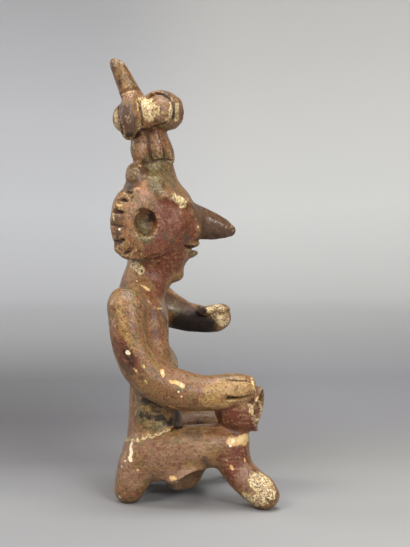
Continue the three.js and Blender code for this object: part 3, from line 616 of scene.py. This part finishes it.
# Painted shade: thin dark lines in the tooled grooves and gaps of the top-knot, flutes, mouth, ear, fist
# and finger lines, and the line under the forearm.
GROOVE_SHADE = [
    ([(140.2, 101), (141, 110), (142, 118), (142.6, 126)], 0.6, 0.7),
    ([(118.6, 103), (118.5, 112), (120.4, 124), (122.4, 134)], 0.5, 0.9),
    ([(156, 93.4), (164, 94.8), (169.7, 99), (172.8, 104), (173.8, 110), (173.2, 118)], 0.8, 1.0),
    ([(127, 135.4)], 1.0, 1.0), ([(142, 129.8), (151, 127.8), (160, 125), (166, 122)], 0.7, 0.8),
    ([(134, 139.2), (139.6, 134), (141, 129)], 0.8, 0.9),
    ([(163.4, 303), (163.2, 318), (164.6, 330)], 0.6, 0.6),
    ([(228, 380.2), (237, 380.8), (246.3, 380.7)], 0.4, 0.8),
    ([(227, 396), (234.9, 397.1), (240.4, 396.9), (252, 395.4)], 0.4, 0.8),
    ([(186.0, 246.4), (192, 247.2)], 1.0, 1.0), ([(213, 304.6), (219, 303.6), (223, 304.6)], 0.5, 0.9),
    ([(122, 352), (116, 340), (112, 326)], 0.6, 0.4),
    ([(126, 380), (140, 394), (156, 405), (176, 410)], 0.7, 0.9),
    ([(133, 262.6), (139.4, 260.8), (146, 258.6), (156, 255.4)], 0.6, 0.6),
    ([(131, 251), (126, 253)], 0.8, 0.7), ([(142, 161), (150, 162.4), (160, 160)], 0.5, 0.6),
    ([(200.4, 306.6), (202.4, 311), (206, 313.4)], 0.6, 0.9), ([(171, 431), (176, 427)], 1.2, 0.9),
    ([(203, 236), (212, 238.6)], 0.6, 0.7), ([(217, 441), (221, 446)], 0.6, 0.5),
    ([(137, 211), (141, 208.6), (146, 208.6)], 1.0, 0.7),
    ([(204, 206), (212, 210), (222, 217)], 0.5, 0.5), ([(262, 386), (263, 396)], 0.8, 0.6),
    ([(266, 498), (270, 502)], 1.2, 0.6),
]
POLISH = [
    ([(208, 212), (218, 219), (232, 228)], 3, 1.0), ([(131, 165), (139, 168)], 3, 0.5),
    ([(169, 298), (170, 328)], 3, 0.6), ([(180, 100), (182, 112)], 2, 0.7),
    ([(168, 196), (174, 200)], 3, 0.8), ([(222, 414), (238, 418)], 6, 0.4),
    ([(111.4, 302), (112.6, 318), (118, 334)], 2, 0.6),
]
CHIPS = [
    ([(127.2, 352.2), (128.8, 353)], 1.1, 1), ([(162.6, 373)], 0.8, 1), ([(182, 385)], 0.8, 1),
    ([(178.5, 391.5)], 0.6, 1), ([(181.5, 396.6)], 0.4, 1),
    ([(131.6, 443), (130.2, 447), (131.4, 452), (129.4, 457), (130.6, 461)], 1.2, 1),
    ([(125.2, 460.8)], 0.7, 1), ([(121.6, 466.4)], 0.5, 1), ([(118.6, 496.4), (120, 497.4)], 0.7, 1),
    ([(233, 441)], 1.3, 1), ([(230, 445.5)], 0.8, 1), ([(226.9, 460.2)], 0.5, 0.9),
    ([(177, 482.2)], 0.5, 1), ([(198, 227)], 0.6, 1), ([(148.4, 300.6), (151, 303.6)], 0.4, 1),
    ([(140.7, 165.9)], 0.6, 1), ([(119.6, 229)], 0.6, 1), ([(137.4, 281)], 0.6, 1),
    ([(174.8, 293)], 0.4, 1), ([(143.8, 372.8)], 0.4, 0.9), ([(216, 496), (222, 499)], 0.6, 0.8),
]

# The sides that the photograph doesn't show have the same wear, in places of their own: points near the
# clay, radius, strength.
UNSEEN = {
    "red": [
        ([(-42, -14, 128), (-44, 6, 132), (-40, 22, 124)], 10, 0.8),
        ([(-40, 0, 178), (-40, 4, 164)], 8, 0.9), ([(-2, -6, 120), (0, 10, 110)], 9, 0.8),
        ([(-34, 0, 32), (-36, 14, 38)], 9, 0.6), ([(8, 0, 24)], 9, 0.6),
    ],
    "rust": [
        ([(-44, -6, 104), (-45, 2, 84)], 8, 0.7), ([(2, 8, 84)], 7, 0.6), ([(-26, 0, 226)], 4, 0.7),
    ],
    "pale": [
        ([(-44, 18, 116), (-42, 22, 98)], 5, 0.7), ([(-2, 12, 70)], 5, 0.6), ([(-44, -14, 90)], 6, 0.5),
    ],
    "olive": [
        ([(-45, 4, 96), (-42, 14, 74)], 8, 0.8), ([(0, -8, 98), (4, 2, 90)], 6, 0.7),
        ([(-38, -10, 148)], 5, 0.7), ([(-40, 0, 190)], 6, 0.7), ([(8, 12, 34)], 6, 0.6),
    ],
    "umber": [
        ([(-38, 0, 200)], 7, 0.7), ([(-42, -20, 84)], 6, 0.7), ([(6, 16, 40)], 5, 0.6),
        ([(-46, 10, 108)], 5, 0.6),
    ],
    "stain_and_shade": [
        ([(-42, 20, 62)], 4, 0.6), ([(-46, 12, 120)], 3, 0.5), ([(4, -6, 76)], 3, 0.5),
        ([(-36, 6, 156)], 3, 0.5),
    ],
    "gold": [
        ([(-46, -4, 122), (-46, 4, 112)], 3, 0.7), ([(2, -2, 110), (4, 2, 104)], 2, 0.7),
        ([(-44, 8, 82)], 2.4, 0.7),
    ],
    "cream": [
        ([(-45, -2, 70), (-44, 6, 64)], 2.6, 0.9), ([(-38, 6, 140)], 2.5, 0.8),
        ([(6, -2, 100)], 1.4, 0.9),
    ],
    "chip": [
        ([(-46, 8, 92)], 1.2, 1), ([(-44, -10, 58)], 1, 1), ([(4, 4, 60)], 1, 1),
        ([(-42, -2, 170)], 1, 1), ([(-47, -6, 114), (-47, -4, 111)], 0.8, 1), ([(8, -8, 28)], 1, 1),
    ],
}

# Each brush: name, strokes, soft, ragged, twin. Soft is how far an edge fades, ragged how far it wanders,
# and twin how strong the same marks are on the far side.
BRUSHES = (
    ("red", RED, 5.0, 2.0, 0.9), ("rust", RUST, 3.0, 2.0, 0.8), ("pale", PALE_AND_HIGHLIGHTS, 4.0, 2.0, 0.7),
    ("olive", OLIVE, 4.0, 2.5, 0.8), ("gold", GOLD, 3.6, 2.8, 0.7), ("umber", UMBER, 3.5, 1.6, 0.9),
    ("stain_and_shade", DARK_STAIN_AND_SHADE, 2.4, 1.8, 0.7), ("raised_forearm_shade", RAISED_FOREARM_SHADE, 7.0, 1.5, 0.0), ("cream", CREAM_AND_HIGHLIGHTS, 1.4, 1.5, 0.7),
    ("bruise", BRUISES, 1.1, 0.7, 0.0), ("groove_shade", GROOVE_SHADE, 0.9, 0.35, 0.8), ("polish", POLISH, 2.5, 1.0, 0.9),
    ("chip", CHIPS, 0.9, 0.5, 0.0),
)
# The streaks on the legs run level, and most of those on the body and arms above them slant.
LEGS_TO, UPPER_FROM = 62, 84
upper = ramp(points[:, 2], LEGS_TO, UPPER_FROM)
layers = {"crease": crease, "crest": crest, "upper": upper, "legs": 1 - upper}
for name, strokes, soft, ragged, twin in BRUSHES:
    laid = np.zeros(vertex_count)
    marks = [(brought_to(spots), radius, strength) for spots, radius, strength in UNSEEN.get(name, ())]
    for spots, radius, strength in strokes:
        for line, share in zip(worked(spots, twin > 0), (1.0, twin)):
            marks.append((line, radius, strength * share))
    for line, radius, strength in marks:
        away = away_from(points, line, radius + soft + 2 * ragged) + ragged * uneven
        laid = np.maximum(laid, strength * (1 - ramp(away, radius - soft, radius + soft)))
    layers[name] = laid

CHIP_DEEP = 0.35
points = points - normals * (CHIP_DEEP * np.maximum(layers["chip"], layers["bruise"]))[:, None]
points[:, 2] = np.maximum(points[:, 2], 0)
put_points(points)
for name, values in layers.items():
    attribute = mesh.attributes.new(name, "FLOAT", "POINT")
    attribute.data.foreach_set("value", np.clip(values, 0, 1).astype(np.float32))

# The flat places need fewer points than the tooled ones.
MOST_TRIANGLES = 196000
thin = figure.modifiers.new("thin", "DECIMATE")
thin.ratio = min(1, MOST_TRIANGLES / (2 * len(mesh.polygons)))
bpy.ops.object.modifier_apply(modifier=thin.name)
mesh = figure.data
mesh.shade_smooth()


# Burnished slip. Iron-red slip rubbed with a stone has a soft gloss with streaks. Buff and cream show
# where it is rubbed or chipped, and green stains lie in the pores. The dark coats are stains and painted
# shade, the clay is darker in its creases, and some pale and cream marks are painted highlights.
def sheet_colour(hex_colour):
    """An sRGB hex value as the linear colour that a shader takes."""
    channels = [int(hex_colour[i:i + 2], 16) / 255 for i in (1, 3, 5)]
    return [c / 12.92 if c <= 0.04045 else ((c + 0.055) / 1.055) ** 2.4 for c in channels] + [1.0]


def node(tree, kind, settings=None, links=None):
    """Adds a node. Settings name its properties or input sockets, and links give what feeds an input."""
    added = tree.nodes.new(kind)
    for key, value in (settings or {}).items():
        if isinstance(key, str) and hasattr(added, key) and key not in added.inputs:
            setattr(added, key, value)
        else:
            added.inputs[key].default_value = value
    for key, source in (links or {}).items():
        tree.links.new(source, added.inputs[key])
    return added


slip = bpy.data.materials.new("burnished_iron_slip")
slip.use_nodes = True
tree = slip.node_tree
tree.nodes.clear()
place = node(tree, "ShaderNodeTexCoord").outputs["Object"]

# Textures by the size of their lumps in mm and how far they lean in degrees. The real grains are 0.2 to
# 0.5 mm, and are drawn at 0.9 to 1.7 mm, as coarse as they need to show.
TEXTURES = {
    "broad": ((24, 24, 24), 0), "mottle": ((6.5, 6.5, 6.5), 0), "blotch": ((3.2, 3.2, 3.2), 0),
    "speckle": ((1.7, 1.7, 1.7), 0), "grit": ((1.25, 1.25, 1.4), 0), "pores": ((0.95, 0.95, 0.95), 0),
    "slant_streaks": ((1.5, 1.5, 9), -38), "level_streaks": ((10, 1.6, 1.6), 0),
    "rosy": ((5, 5, 5), 0), "mossy": ((3.8, 3.8, 3.8), 0),
}
TEXTURE_APART = 0.11
texture = {}
for number, (name, (lump, lean)) in enumerate(TEXTURES.items()):
    mapped = node(tree, "ShaderNodeMapping", {
        "vector_type": "TEXTURE", "Location": (number * TEXTURE_APART,) * 3,
        "Rotation": (0, math.radians(lean), 0), "Scale": tuple(length * MM for length in lump)}, {0: place})
    texture[name] = node(tree, "ShaderNodeTexNoise", {"Scale": 1.0, "Detail": 3.0, "Roughness": 0.6},
                         {"Vector": mapped.outputs[0]}).outputs["Fac"]
for name in ("blotch", "speckle", "grit", "pores", "slant_streaks", "level_streaks"):
    texture["no_" + name] = node(tree, "ShaderNodeMath", {"operation": "SUBTRACT", 0: 1.0},
                                 {1: texture[name]}).outputs[0]
laid_on = {}
for name in layers:
    laid_on[name] = node(tree, "ShaderNodeAttribute", {"attribute_name": name}).outputs["Fac"]

# Colours from the first coat to the last: colour, where it is laid on (None is all over), the texture that
# breaks it up, where it starts, where it is full, and how much it covers there.
COATS = (
    ("#8E7045", None, "broad", 0.47, 0.60, 0.50),
    ("#5F3E28", None, "mottle", 0.52, 0.66, 0.75),
    ("#91603A", None, "blotch", 0.54, 0.68, 0.30),
    ("#8C5A42", None, "rosy", 0.50, 0.64, 0.60),
    ("#6E6A40", None, "mossy", 0.53, 0.66, 0.55),
    ("#6A331F", "red", "mottle", 0.14, 0.40, 0.93),
    ("#854A31", "red", "blotch", 0.52, 0.64, 0.45),
    ("#4F2415", "red", "no_grit", 0.52, 0.62, 0.55),
    ("#9E6A44", "rust", "blotch", 0.22, 0.46, 0.85),
    # Pale tones and painted highlights.
    ("#8E6B54", "pale", "blotch", 0.22, 0.44, 0.80),
    ("#594D2C", "olive", "blotch", 0.24, 0.44, 0.88),
    ("#8E8755", "olive", "speckle", 0.49, 0.60, 0.62),
    ("#A47F48", "gold", "blotch", 0.22, 0.44, 0.80),
    ("#CCAA6E", "gold", "speckle", 0.45, 0.58, 0.62),
    ("#AA855A", "upper", "slant_streaks", 0.56, 0.68, 0.44),
    ("#4F2F1D", "upper", "no_slant_streaks", 0.56, 0.65, 0.60),
    ("#AE8868", "legs", "level_streaks", 0.50, 0.66, 0.45),
    ("#5C3423", "legs", "no_level_streaks", 0.54, 0.68, 0.40),
    ("#B28E62", "upper", "level_streaks", 0.58, 0.69, 0.30),
    ("#BC9A6A", None, "speckle", 0.60, 0.70, 0.36),
    ("#37200F", None, "grit", 0.44, 0.36, 0.74),
    ("#553D2D", "umber", "mottle", 0.14, 0.36, 0.95),
    ("#7A6350", "umber", "slant_streaks", 0.52, 0.66, 0.30),
    ("#3A2A1E", "umber", "no_grit", 0.53, 0.62, 0.45),
    ("#3A1E11", "crease", "mottle", 0.12, 0.44, 0.80),
    # Cream wear and painted highlights.
    ("#CCB27A", "cream", "speckle", 0.34, 0.48, 0.95),
    ("#EEDFB8", "cream", "grit", 0.46, 0.58, 0.85),
    ("#7C5040", "cream", "no_speckle", 0.52, 0.60, 0.55),
    ("#946E55", "cream", "no_blotch", 0.50, 0.60, 0.75),
    ("#553B28", "cream", "no_pores", 0.53, 0.60, 0.92),
    ("#CDB288", "crest", "grit", 0.47, 0.63, 0.45),
    ("#281709", None, "pores", 0.39, 0.33, 0.65),
    ("#DDC69A", None, "pores", 0.67, 0.72, 0.50),
    # Dark stains and painted shade.
    ("#20130B", "stain_and_shade", "mottle", 0.18, 0.42, 0.93),
    ("#4E3628", "stain_and_shade", "slant_streaks", 0.50, 0.64, 0.35),
    # Painted shade under the raised forearm.
    ("#0D0704", "raised_forearm_shade", "broad", 0.08, 0.40, 0.95),
    # Painted shade in the grooves and gaps.
    ("#2C180C", "groove_shade", "speckle", 0.14, 0.34, 0.90),
    ("#CFA76C", "bruise", "grit", 0.20, 0.27, 1.00),
    ("#E2C998", "bruise", "speckle", 0.44, 0.52, 0.80),
    ("#EAD9B6", "chip", "grit", 0.20, 0.27, 1.00),
)
SLIP_DARK, SLIP_LIGHT = sheet_colour("#795232"), sheet_colour("#87633C")
colour = node(tree, "ShaderNodeMix", {"data_type": "RGBA", 6: SLIP_DARK, 7: SLIP_LIGHT},
              {0: texture["broad"]}).outputs[2]
for hex_colour, where, breaks, starts, full, covers in COATS:
    share = texture[breaks]
    if where:
        share = node(tree, "ShaderNodeMath", {"operation": "MULTIPLY"},
                     {0: laid_on[where], 1: share}).outputs[0]
    share = node(tree, "ShaderNodeMapRange", {"interpolation_type": "SMOOTHSTEP", "From Min": starts,
                 "From Max": full, "To Max": covers}, {"Value": share}).outputs[0]
    colour = node(tree, "ShaderNodeMix", {"data_type": "RGBA", 7: sheet_colour(hex_colour)},
                  {0: share, 6: colour}).outputs[2]

# Burnished places are glossy, and worn and chipped ones dull.
rough = node(tree, "ShaderNodeMapRange", {"From Min": 0.3, "From Max": 0.7, "To Min": 0.22, "To Max": 0.44},
             {"Value": texture["speckle"]}).outputs[0]
DULLER = (
    ("cream", 0.2), ("chip", 0.35), ("bruise", 0.3), ("crease", 0.2), ("stain_and_shade", 0.15), ("raised_forearm_shade", 0.45),
    ("red", 0.1), ("polish", -0.18),
)
for where, more in DULLER:
    rough = node(tree, "ShaderNodeMath", {"operation": "MULTIPLY_ADD", 1: more},
                 {0: laid_on[where], 2: rough}).outputs[0]

# Pores, speckle and the stone's streaks stand up to 0.3 mm high, and less where the slip was polished.
GRAIN_HIGH = 0.3
RELIEF_PLAIN, RELIEF_POLISHED = 0.75, 0.25
height = node(tree, "ShaderNodeMath", {"operation": "ADD"},
              {0: texture["pores"], 1: texture["speckle"]}).outputs[0]
height = node(tree, "ShaderNodeMath", {"operation": "ADD"},
              {0: height, 1: texture["slant_streaks"]}).outputs[0]
relief = node(tree, "ShaderNodeMath", {
    "operation": "MULTIPLY_ADD", 1: RELIEF_POLISHED - RELIEF_PLAIN, 2: RELIEF_PLAIN},
    {0: laid_on["polish"]}).outputs[0]
surface = node(tree, "ShaderNodeBump", {"Distance": GRAIN_HIGH * MM},
               {"Strength": relief, "Height": height})
shader = node(tree, "ShaderNodeBsdfPrincipled", {"IOR": 1.5, "Metallic": 0.0, "Specular IOR Level": 0.42},
              {"Base Color": colour, "Roughness": rough, "Normal": surface.outputs[0]})
node(tree, "ShaderNodeOutputMaterial", links={"Surface": shader.outputs[0]})

mesh.materials.append(slip)
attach(figure, "root")
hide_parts("seated_figure")


# Studio, in metres. A pale grey paper cove, with painted shade in its tone, stands all round the figure.
# Soft windows stand in front to the left and right, a soft lamp hangs overhead and a narrow one stands at
# the left.
FLOOR_RADIUS, COVE_RADIUS, COVE_HIGH = 1.5, 0.5, 2.5
ROUND_STEPS, COVE_STEPS = 128, 24
RIM_CLOSE = 0.01
bpy.ops.object.select_all(action="DESELECT")
bpy.ops.mesh.primitive_cylinder_add(
    vertices=ROUND_STEPS, radius=FLOOR_RADIUS, depth=COVE_HIGH, location=(0, 0, COVE_HIGH / 2))
cove = bpy.context.object
cove.name = "paper_cove"
bpy.ops.object.transform_apply(location=True, rotation=True, scale=True)
bpy.ops.object.mode_set(mode="EDIT")
bpy.ops.mesh.select_mode(type="FACE")
bpy.ops.mesh.select_all(action="DESELECT")
bpy.ops.object.mode_set(mode="OBJECT")
for face in cove.data.polygons:
    face.select = face.center.z > COVE_HIGH - RIM_CLOSE
bpy.ops.object.mode_set(mode="EDIT")
bpy.ops.mesh.delete(type="FACE")
bpy.ops.mesh.select_mode(type="EDGE")
bpy.ops.mesh.select_all(action="DESELECT")
bpy.ops.object.mode_set(mode="OBJECT")
for rim in cove.data.edges:
    rim.select = all(cove.data.vertices[i].co.z < RIM_CLOSE for i in rim.vertices)
bpy.ops.object.mode_set(mode="EDIT")
bpy.ops.mesh.bevel(offset=COVE_RADIUS, segments=COVE_STEPS, profile=0.5, affect="EDGES")
bpy.ops.mesh.select_all(action="SELECT")
bpy.ops.mesh.flip_normals()
bpy.ops.object.mode_set(mode="OBJECT")
for face in cove.data.polygons:
    face.use_smooth = len(face.vertices) == 4

# Matt paper has no gloss. Its colour carries painted shade and light: darker behind the figure, lighter
# again up the wall, and darker on the left than on the right. Each row: metres back plus metres up, the
# tone on the left and the tone on the right.
PAPER_SHADE_TONES = (
    (-0.02, "#8C8C8D", "#9A9998"),
    (0.10, "#6E6D6F", "#8A8986"),
    (0.25, "#636264", "#858487"),
    (0.44, "#6E6E70", "#86868A"),
    (0.70, "#9B9B9C", "#A3A3A4"),
    (1.05, "#C1C2C5", "#C9CAC9"),
    (1.40, "#D0D2D5", "#DCDDDC"),
    (1.66, "#C9CACE", "#D6D6D4"),
    (1.90, "#B5B5B8", "#C9C9C7"),
)
TONES_FROM, TONES_TO = PAPER_SHADE_TONES[0][0], PAPER_SHADE_TONES[-1][0]
LEFT_EDGE, RIGHT_EDGE = -0.12, 0.16
paper = bpy.data.materials.new("grey_paper_with_painted_shade")
paper.use_nodes = True
paper_tree = paper.node_tree
spot = node(paper_tree, "ShaderNodeSeparateXYZ",
            links={0: node(paper_tree, "ShaderNodeTexCoord").outputs["Object"]})
run = node(paper_tree, "ShaderNodeMath", {"operation": "ADD"}, {0: spot.outputs[1], 1: spot.outputs[2]})
run = node(paper_tree, "ShaderNodeMapRange", {"From Min": TONES_FROM, "From Max": TONES_TO},
           {"Value": run.outputs[0]})
tones = []
for column in (1, 2):
    tone = node(paper_tree, "ShaderNodeValToRGB", links={0: run.outputs[0]})
    while len(tone.color_ramp.elements) < len(PAPER_SHADE_TONES):
        tone.color_ramp.elements.new(0.5)
    for stop, row in zip(tone.color_ramp.elements, PAPER_SHADE_TONES):
        stop.position = (row[0] - TONES_FROM) / (TONES_TO - TONES_FROM)
        stop.color = sheet_colour(row[column])
    tones.append(tone.outputs[0])
rightward = node(paper_tree, "ShaderNodeMapRange", {"interpolation_type": "SMOOTHSTEP",
                 "From Min": LEFT_EDGE, "From Max": RIGHT_EDGE}, {"Value": spot.outputs[0]})
tone = node(paper_tree, "ShaderNodeMix", {"data_type": "RGBA"},
            {0: rightward.outputs[0], 6: tones[0], 7: tones[1]})
paper_shader = paper_tree.nodes["Principled BSDF"]
paper_shader.inputs["Roughness"].default_value = 0.9
paper_shader.inputs["Specular IOR Level"].default_value = 0.2
paper_tree.links.new(tone.outputs[2], paper_shader.inputs["Base Color"])
cove.data.materials.append(paper)


def soft_lamp(name, place, aim, width, height, watts, colour="#FFFFFF"):
    """A lamp behind a soft panel, sized in metres, that the camera doesn't see."""
    bpy.ops.object.light_add(type="AREA", location=place)
    lamp = bpy.context.object
    lamp.name = name
    lamp.data.shape = "RECTANGLE"
    lamp.data.size = width
    lamp.data.size_y = height
    lamp.data.energy = watts
    lamp.data.color = sheet_colour(colour)[:3]
    lamp.rotation_euler = (Vector(aim) - Vector(place)).to_track_quat("-Z", "Y").to_euler()
    lamp.visible_camera = False


soft_lamp("left_window", (-0.75, -0.95, 1.05), (0, 0, 0.12), 0.6, 0.6, 11, "#FFF8EE")
soft_lamp("right_window", (0.50, -1.15, 0.70), (0, 0, 0.12), 0.45, 0.45, 13)
soft_lamp("overhead", (0.05, -0.05, 1.3), (0, 0, 0.1), 0.7, 0.7, 15)
soft_lamp("left_strip", (-1.05, 0.25, 0.55), (0, 0, 0.14), 0.3, 0.9, 5)

room = bpy.data.worlds.new("studio_air")
bpy.context.scene.world = room
room.use_nodes = True
room.node_tree.nodes["Background"].inputs["Color"].default_value = (1.0, 0.98, 0.95, 1.0)
room.node_tree.nodes["Background"].inputs["Strength"].default_value = 0.05
bpy.context.scene.view_settings.view_transform = "Standard"
